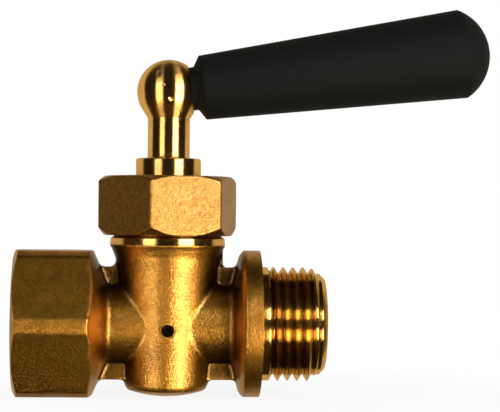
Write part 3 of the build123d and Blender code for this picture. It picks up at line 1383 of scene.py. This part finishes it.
@dataclass
class Plug:
    """The plug with its shank, stem and ball, turned from one bar. Sizes are radii and heights."""

    cut_height: float = 12.0
    shank: float = 6.0
    shank_top: float = 30.3
    shank_rounding: float = 0.5
    stem: float = 3.875
    ball: float = 5.93
    neck_angle: float = 32.5
    flat: float = 4.0

    def upper_outline(self) -> Profile:
        """Outline from the cut to the top of the ball.

        Returns:
            The outline about the stem.
        """
        join = math.radians(self.neck_angle)
        join_radius = self.ball * math.cos(join)
        join_height = BALL_HEIGHT - self.ball * math.sin(join)
        stem_top = join_height - (join_radius - self.stem) / math.tan(join)
        below = [
            (self.cut_height, 0.0),
            (self.cut_height, self.shank),
            (self.shank_top, self.shank),
            (self.shank_top, self.stem),
            (stem_top, self.stem),
            (join_height, join_radius),
        ]
        ball = arc((BALL_HEIGHT, 0.0), self.ball, 90 + self.neck_angle, 0, steps=40)
        return rounded(below, self.shank_rounding, steps=4) + ball[1:]

    def build(self, nodes: dict[str, Object]) -> None:
        """Builds the plug in place of the CAD one, whose cone it keeps, greased and darkened as
        painted shade.

        Args:
            nodes: The CAD nodes by name.
        """
        lower = node_copy(nodes["plug"])
        cut_off(lower, Vector((0, 0, self.cut_height)), Vector((0, 0, 1)))
        for face in lower.faces:
            face.material_index = 1
        upper = lathe(self.upper_outline(), UP_STEM)
        lean = math.radians(LEVER_TILT)
        toward = Vector((math.cos(lean), 0, math.sin(lean)))
        cut_off(upper, Vector((STEM_X, 0, BALL_HEIGHT)) + toward * self.flat, toward)
        join_into(upper, lower)
        mesh = mesh_from(upper, "plug_and_ball", TURNED_STEM.material(), GREASED_PAINTED_SHADE.material())
        piece = smooth_object("plug_and_ball", mesh, sharp_angle=30)
        place_piece(piece, Body.LEVER, Slot.TURNED, "plug")


# ------------------------------------------------------- gland nut


@dataclass
class GlandNut:
    """The hexagonal gland nut: how fine its skin is and how much it wavers."""

    voxel: float = 0.22
    passes: int = 2
    wave: float = 1.4
    wave_height: float = 0.03

    def build(self, nodes: dict[str, Object]) -> None:
        """Builds the nut in place of the CAD one.

        Args:
            nodes: The CAD nodes by name.
        """
        mesh = soft_skin(node_copy(nodes["gland_nut"]), "nut_hexagon", self.voxel, self.passes)
        waver(mesh, self.wave, self.wave_height)
        mesh.materials.clear()
        mesh.materials.append(BLASTED.material())
        piece = smooth_object("nut_hexagon", mesh, sharp_angle=40)
        place_piece(piece, Body.VALVE, Slot.BLASTED, "gland_nut")


# ------------------------------------------------------- grip


@dataclass
class Grip:
    """The moulded grip. Sizes are radii, and places along the lever from the ball's centre."""

    start: float = 4.0
    neck: float = 4.0
    neck_length: float = 1.0
    shoulder_length: float = 1.2
    near: float = 5.95
    far: float = 8.25
    cone: float = 48.8
    dome: float = 5.1
    rounding: float = 0.25

    def build(self) -> None:
        """Builds the grip in place of the CAD one."""
        shoulder_end = self.start + self.neck_length + self.shoulder_length
        cone_end = shoulder_end + self.cone
        dome_radius = (self.far**2 + self.dome**2) / (2 * self.dome)
        half = math.degrees(math.asin(self.far / dome_radius))
        body = [
            (self.start, 0.0),
            (self.start, self.neck),
            (self.start + self.neck_length, self.neck),
            (shoulder_end, self.near),
            (cone_end, self.far),
        ]
        dome = arc((cone_end + self.dome - dome_radius, 0.0), dome_radius, half, 0, steps=24)
        outline = rounded(body + [dome[1]], self.rounding) + dome[2:-1] + [(cone_end + self.dome, 0.0)]
        lean = math.radians(LEVER_TILT)
        place = along_axis((STEM_X, 0, BALL_HEIGHT), (math.cos(lean), 0, math.sin(lean)))
        mesh = mesh_from(lathe(outline, place), "grip_moulding", PHENOLIC.material())
        piece = smooth_object("grip_moulding", mesh, sharp_angle=30)
        place_piece(piece, Body.LEVER, Slot.PHENOLIC, "grip")


# ------------------------------------------------------- pieces inside


def dress_nodes(nodes: dict[str, Object]) -> None:
    """Gives the CAD nodes inside the gland and the grip their finishes.

    Args:
        nodes: The CAD nodes by name.
    """
    finishes = {
        "gland_follower": TURNED_STEM,
        "packing_base_washer": TURNED_STEM,
        "packing_ring_lower": GRAPHITE,
        "packing_ring_middle": GRAPHITE,
        "packing_ring_upper": GRAPHITE,
        "lever_stud": ZINC,
        "grip_insert": TURNED_STEM,
    }
    for name, finish in finishes.items():
        for holder in nodes[name].material_slots:
            holder.material = finish.material()
        LOG.info("%s keeps its CAD shape in %s", name, finish.name)


# ------------------------------------------------------- studio


def direction(azimuth: float, elevation: float) -> Vector:
    """Unit vector from the object: azimuth 0 is -Y and 90 is +X, both angles in degrees."""
    a, e = math.radians(azimuth), math.radians(elevation)
    return Vector((math.sin(a) * math.cos(e), -math.cos(a) * math.cos(e), math.sin(e)))


@dataclass(frozen=True)
class SoftBox:
    """One soft box: where it stands, its size and how bright its face is."""

    name: str
    azimuth: float
    width: float
    level: float
    elevation: float = 19.0
    height: float = 150.0
    distance: float = 500.0


@dataclass
class Studio:
    """A pale floor, even light, two soft boxes, and a tent that the brass reflects.

    The tent is dark around the camera and pale behind the object, so bright brass gets dark middles
    and pale rims. It holds a reflector card below each soft box.
    """

    boxes: tuple[SoftBox, ...] = (
        SoftBox("soft_box_right", azimuth=36, width=250, level=13.0),
        SoftBox("soft_box_left", azimuth=-40, width=210, level=4.8),
    )
    card_share: float = 1.6
    card_blur: float = 4.0
    tent_colour: str = "#FFF2DC"
    tent_radius: float = 900.0
    front_level: float = 0.02
    back_level: float = 0.72
    back_start: float = 0.08
    back_full: float = 0.2
    back_rise: float = 0.48
    even_level: float = 0.45
    floor_colour: str = "#F4F4F2"
    floor_height: float = -13.52
    floor_size: float = 6000.0
    floor_white: float = 0.88
    fade_start: float = 30.0
    fade_end: float = 90.0
    target: Point = (-1.85, 0.0, 21.74)
    azimuth: float = -3.8
    elevation: float = -0.5
    roll: float = 0.64
    distance: float = 340.0
    sensor: float = 36.0
    lens: float = 132.336

    def floor(self) -> None:
        """Adds the pale floor, which keeps the object's shadow and fades to white around it."""
        material, tree = new_material("studio_floor_paper")
        path = add_node(tree, "ShaderNodeLightPath").outputs
        paper = add_node(tree, "ShaderNodeBsdfDiffuse", {"Color": hex_colour(self.floor_colour)})
        glow = add_node(tree, "ShaderNodeEmission", {"Color": WHITE, "Strength": 1.0})
        place = add_node(tree, "ShaderNodeTexCoord").outputs["Object"]
        away = add_node(tree, "ShaderNodeVectorMath", {0: place}, operation="LENGTH")
        share = add_node(
            tree,
            "ShaderNodeMapRange",
            {
                "Value": away,
                "From Min": self.fade_start * MM,
                "From Max": self.fade_end * MM,
                "To Min": self.floor_white,
            },
            interpolation_type="SMOOTHSTEP",
        )
        seen = add_node(
            tree, "ShaderNodeMath", {0: path["Is Camera Ray"], 1: share}, operation="MULTIPLY"
        )
        mixed = add_node(tree, "ShaderNodeMixShader", {0: seen, 1: paper, 2: glow})
        add_node(tree, "ShaderNodeOutputMaterial", {"Surface": mixed})
        shape = bmesh.new()
        bmesh.ops.create_grid(shape, x_segments=1, y_segments=1, size=self.floor_size / 2 * MM)
        bmesh.ops.translate(shape, verts=shape.verts, vec=(0, 0, self.floor_height * MM))
        floor = add_object("floor", mesh_from(shape, "floor", material))
        floor.visible_glossy = False

    def surround(self) -> None:
        """Adds the tent, which only reflections show."""
        material, tree = new_material("studio_dark_tent")
        place = add_node(tree, "ShaderNodeTexCoord").outputs["Object"]
        way = add_node(tree, "ShaderNodeVectorMath", {0: place}, operation="NORMALIZE")
        parts = add_node(tree, "ShaderNodeSeparateXYZ", {0: way}).outputs
        height = add_node(tree, "ShaderNodeMath", {0: parts["Z"]}, operation="ABSOLUTE")
        rise = {0: height, 1: -self.back_rise, 2: parts["Y"]}
        behind = add_node(tree, "ShaderNodeMath", rise, operation="MULTIPLY_ADD")
        total = add_node(
            tree,
            "ShaderNodeMapRange",
            {
                "Value": behind,
                "From Min": self.back_start,
                "From Max": self.back_full,
                "To Min": self.front_level,
                "To Max": self.back_level,
            },
            interpolation_type="SMOOTHSTEP",
        )
        for box in self.boxes:
            card = self._card(tree, parts, box)
            total = add_node(tree, "ShaderNodeMath", {0: total, 1: card}, operation="ADD")
        light = {"Color": hex_colour(self.tent_colour), "Strength": total}
        glow = add_node(tree, "ShaderNodeEmission", light)
        add_node(tree, "ShaderNodeOutputMaterial", {"Surface": glow})
        material.cycles.emission_sampling = "NONE"
        shape = bmesh.new()
        bmesh.ops.create_icosphere(shape, subdivisions=4, radius=self.tent_radius * MM)
        tent = add_object("dark_tent", mesh_from(shape, "dark_tent", material))
        for kind in ("camera", "diffuse", "shadow", "transmission"):
            setattr(tent, f"visible_{kind}", False)

    def _card(self, tree: NodeTree, parts: bpy.types.bpy_prop_collection, box: SoftBox) -> Node:
        """Adds the reflector card that lies as far below the run as a soft box stands above it.

        Args:
            tree: The tent's tree.
            parts: The direction's X, Y and Z.
            box: The soft box.

        Returns:
            The card's light, from nothing at its soft edges to its full level.
        """
        kind = "ShaderNodeMath"
        front = add_node(tree, kind, {0: parts["Y"], 1: -1.0}, operation="MULTIPLY")
        azimuth = add_node(tree, kind, {0: parts["X"], 1: front}, operation="ARCTAN2")
        elevation = add_node(tree, kind, {0: parts["Z"]}, operation="ARCSINE")
        light = self.card_share * box.level
        for angle, centre, size in (
            (azimuth, box.azimuth, box.width),
            (elevation, -box.elevation, box.height),
        ):
            half = math.degrees(math.atan(size / 2 / box.distance))
            off = add_node(tree, kind, {0: angle, 1: math.radians(centre)}, operation="SUBTRACT")
            away = add_node(tree, kind, {0: off}, operation="ABSOLUTE")
            share = add_node(
                tree,
                "ShaderNodeMapRange",
                {
                    "Value": away,
                    "From Min": math.radians(half + self.card_blur),
                    "From Max": math.radians(half - self.card_blur),
                },
                interpolation_type="SMOOTHSTEP",
            )
            light = add_node(tree, kind, {0: share, 1: light}, operation="MULTIPLY")
        return light

    def lamp(self, box: SoftBox) -> None:
        """Adds a soft box that faces the object.

        Args:
            box: The soft box.
        """
        data = bpy.data.lights.new(box.name, "AREA")
        data.shape = "RECTANGLE"
        data.size = box.width * MM
        data.size_y = box.height * MM
        data.energy = box.level * math.pi * data.size * data.size_y
        lamp = bpy.data.objects.new(box.name, data)
        bpy.context.scene.collection.objects.link(lamp)
        way = direction(box.azimuth, box.elevation)
        lamp.location = (Vector(self.target) + way * box.distance) * MM
        lamp.rotation_mode = "QUATERNION"
        lamp.rotation_quaternion = way.to_track_quat("Z", "Y")

    def world(self) -> None:
        """Lights the object evenly and shows white behind it."""
        world = bpy.data.worlds.new("studio_world")
        bpy.context.scene.world = world
        world.use_nodes = True
        tree = world.node_tree
        tree.nodes.clear()
        path = add_node(tree, "ShaderNodeLightPath").outputs
        shown = path["Is Camera Ray"]
        for ray in ("Is Glossy Ray", "Is Transmission Ray"):
            rays = {0: shown, 1: path[ray]}
            shown = add_node(tree, "ShaderNodeMath", rays, operation="ADD", use_clamp=True)
        level = add_node(tree, "ShaderNodeMapRange", {"Value": shown, "To Min": self.even_level})
        back = add_node(tree, "ShaderNodeBackground", {"Color": WHITE, "Strength": level})
        add_node(tree, "ShaderNodeOutputWorld", {"Surface": back})

    def camera(self) -> None:
        """Adds the camera, level with the valve and a little to its left."""
        data = bpy.data.cameras.new("camera")
        data.sensor_width = self.sensor
        data.lens = self.lens
        data.clip_start = 1 * MM
        data.clip_end = 10.0
        camera = bpy.data.objects.new("camera", data)
        bpy.context.scene.collection.objects.link(camera)
        back = direction(self.azimuth, self.elevation)
        camera.location = (Vector(self.target) + back * self.distance) * MM
        camera.rotation_mode = "QUATERNION"
        upright = (-back).to_track_quat("-Z", "Y")
        camera.rotation_quaternion = upright @ Quaternion((0, 0, 1), math.radians(self.roll))
        bpy.context.scene.camera = camera

    def build(self) -> None:
        """Builds the whole studio."""
        self.world()
        self.floor()
        self.surround()
        for box in self.boxes:
            self.lamp(box)
        self.camera()
        bpy.context.scene.view_settings.view_transform = "Standard"
        LOG.info("studio: %d soft boxes", len(self.boxes))


# ------------------------------------------------------- main


def main() -> None:
    """Loads the frame, builds each sub-assembly and sets the studio."""
    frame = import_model()
    logging.basicConfig(level=logging.INFO, format="%(message)s")
    nodes = frame["nodes"]
    ValveBody().build(nodes)
    Plug().build(nodes)
    GlandNut().build(nodes)
    Grip().build()
    dress_nodes(nodes)
    Studio().build()


if __name__ == "__main__":
    main()
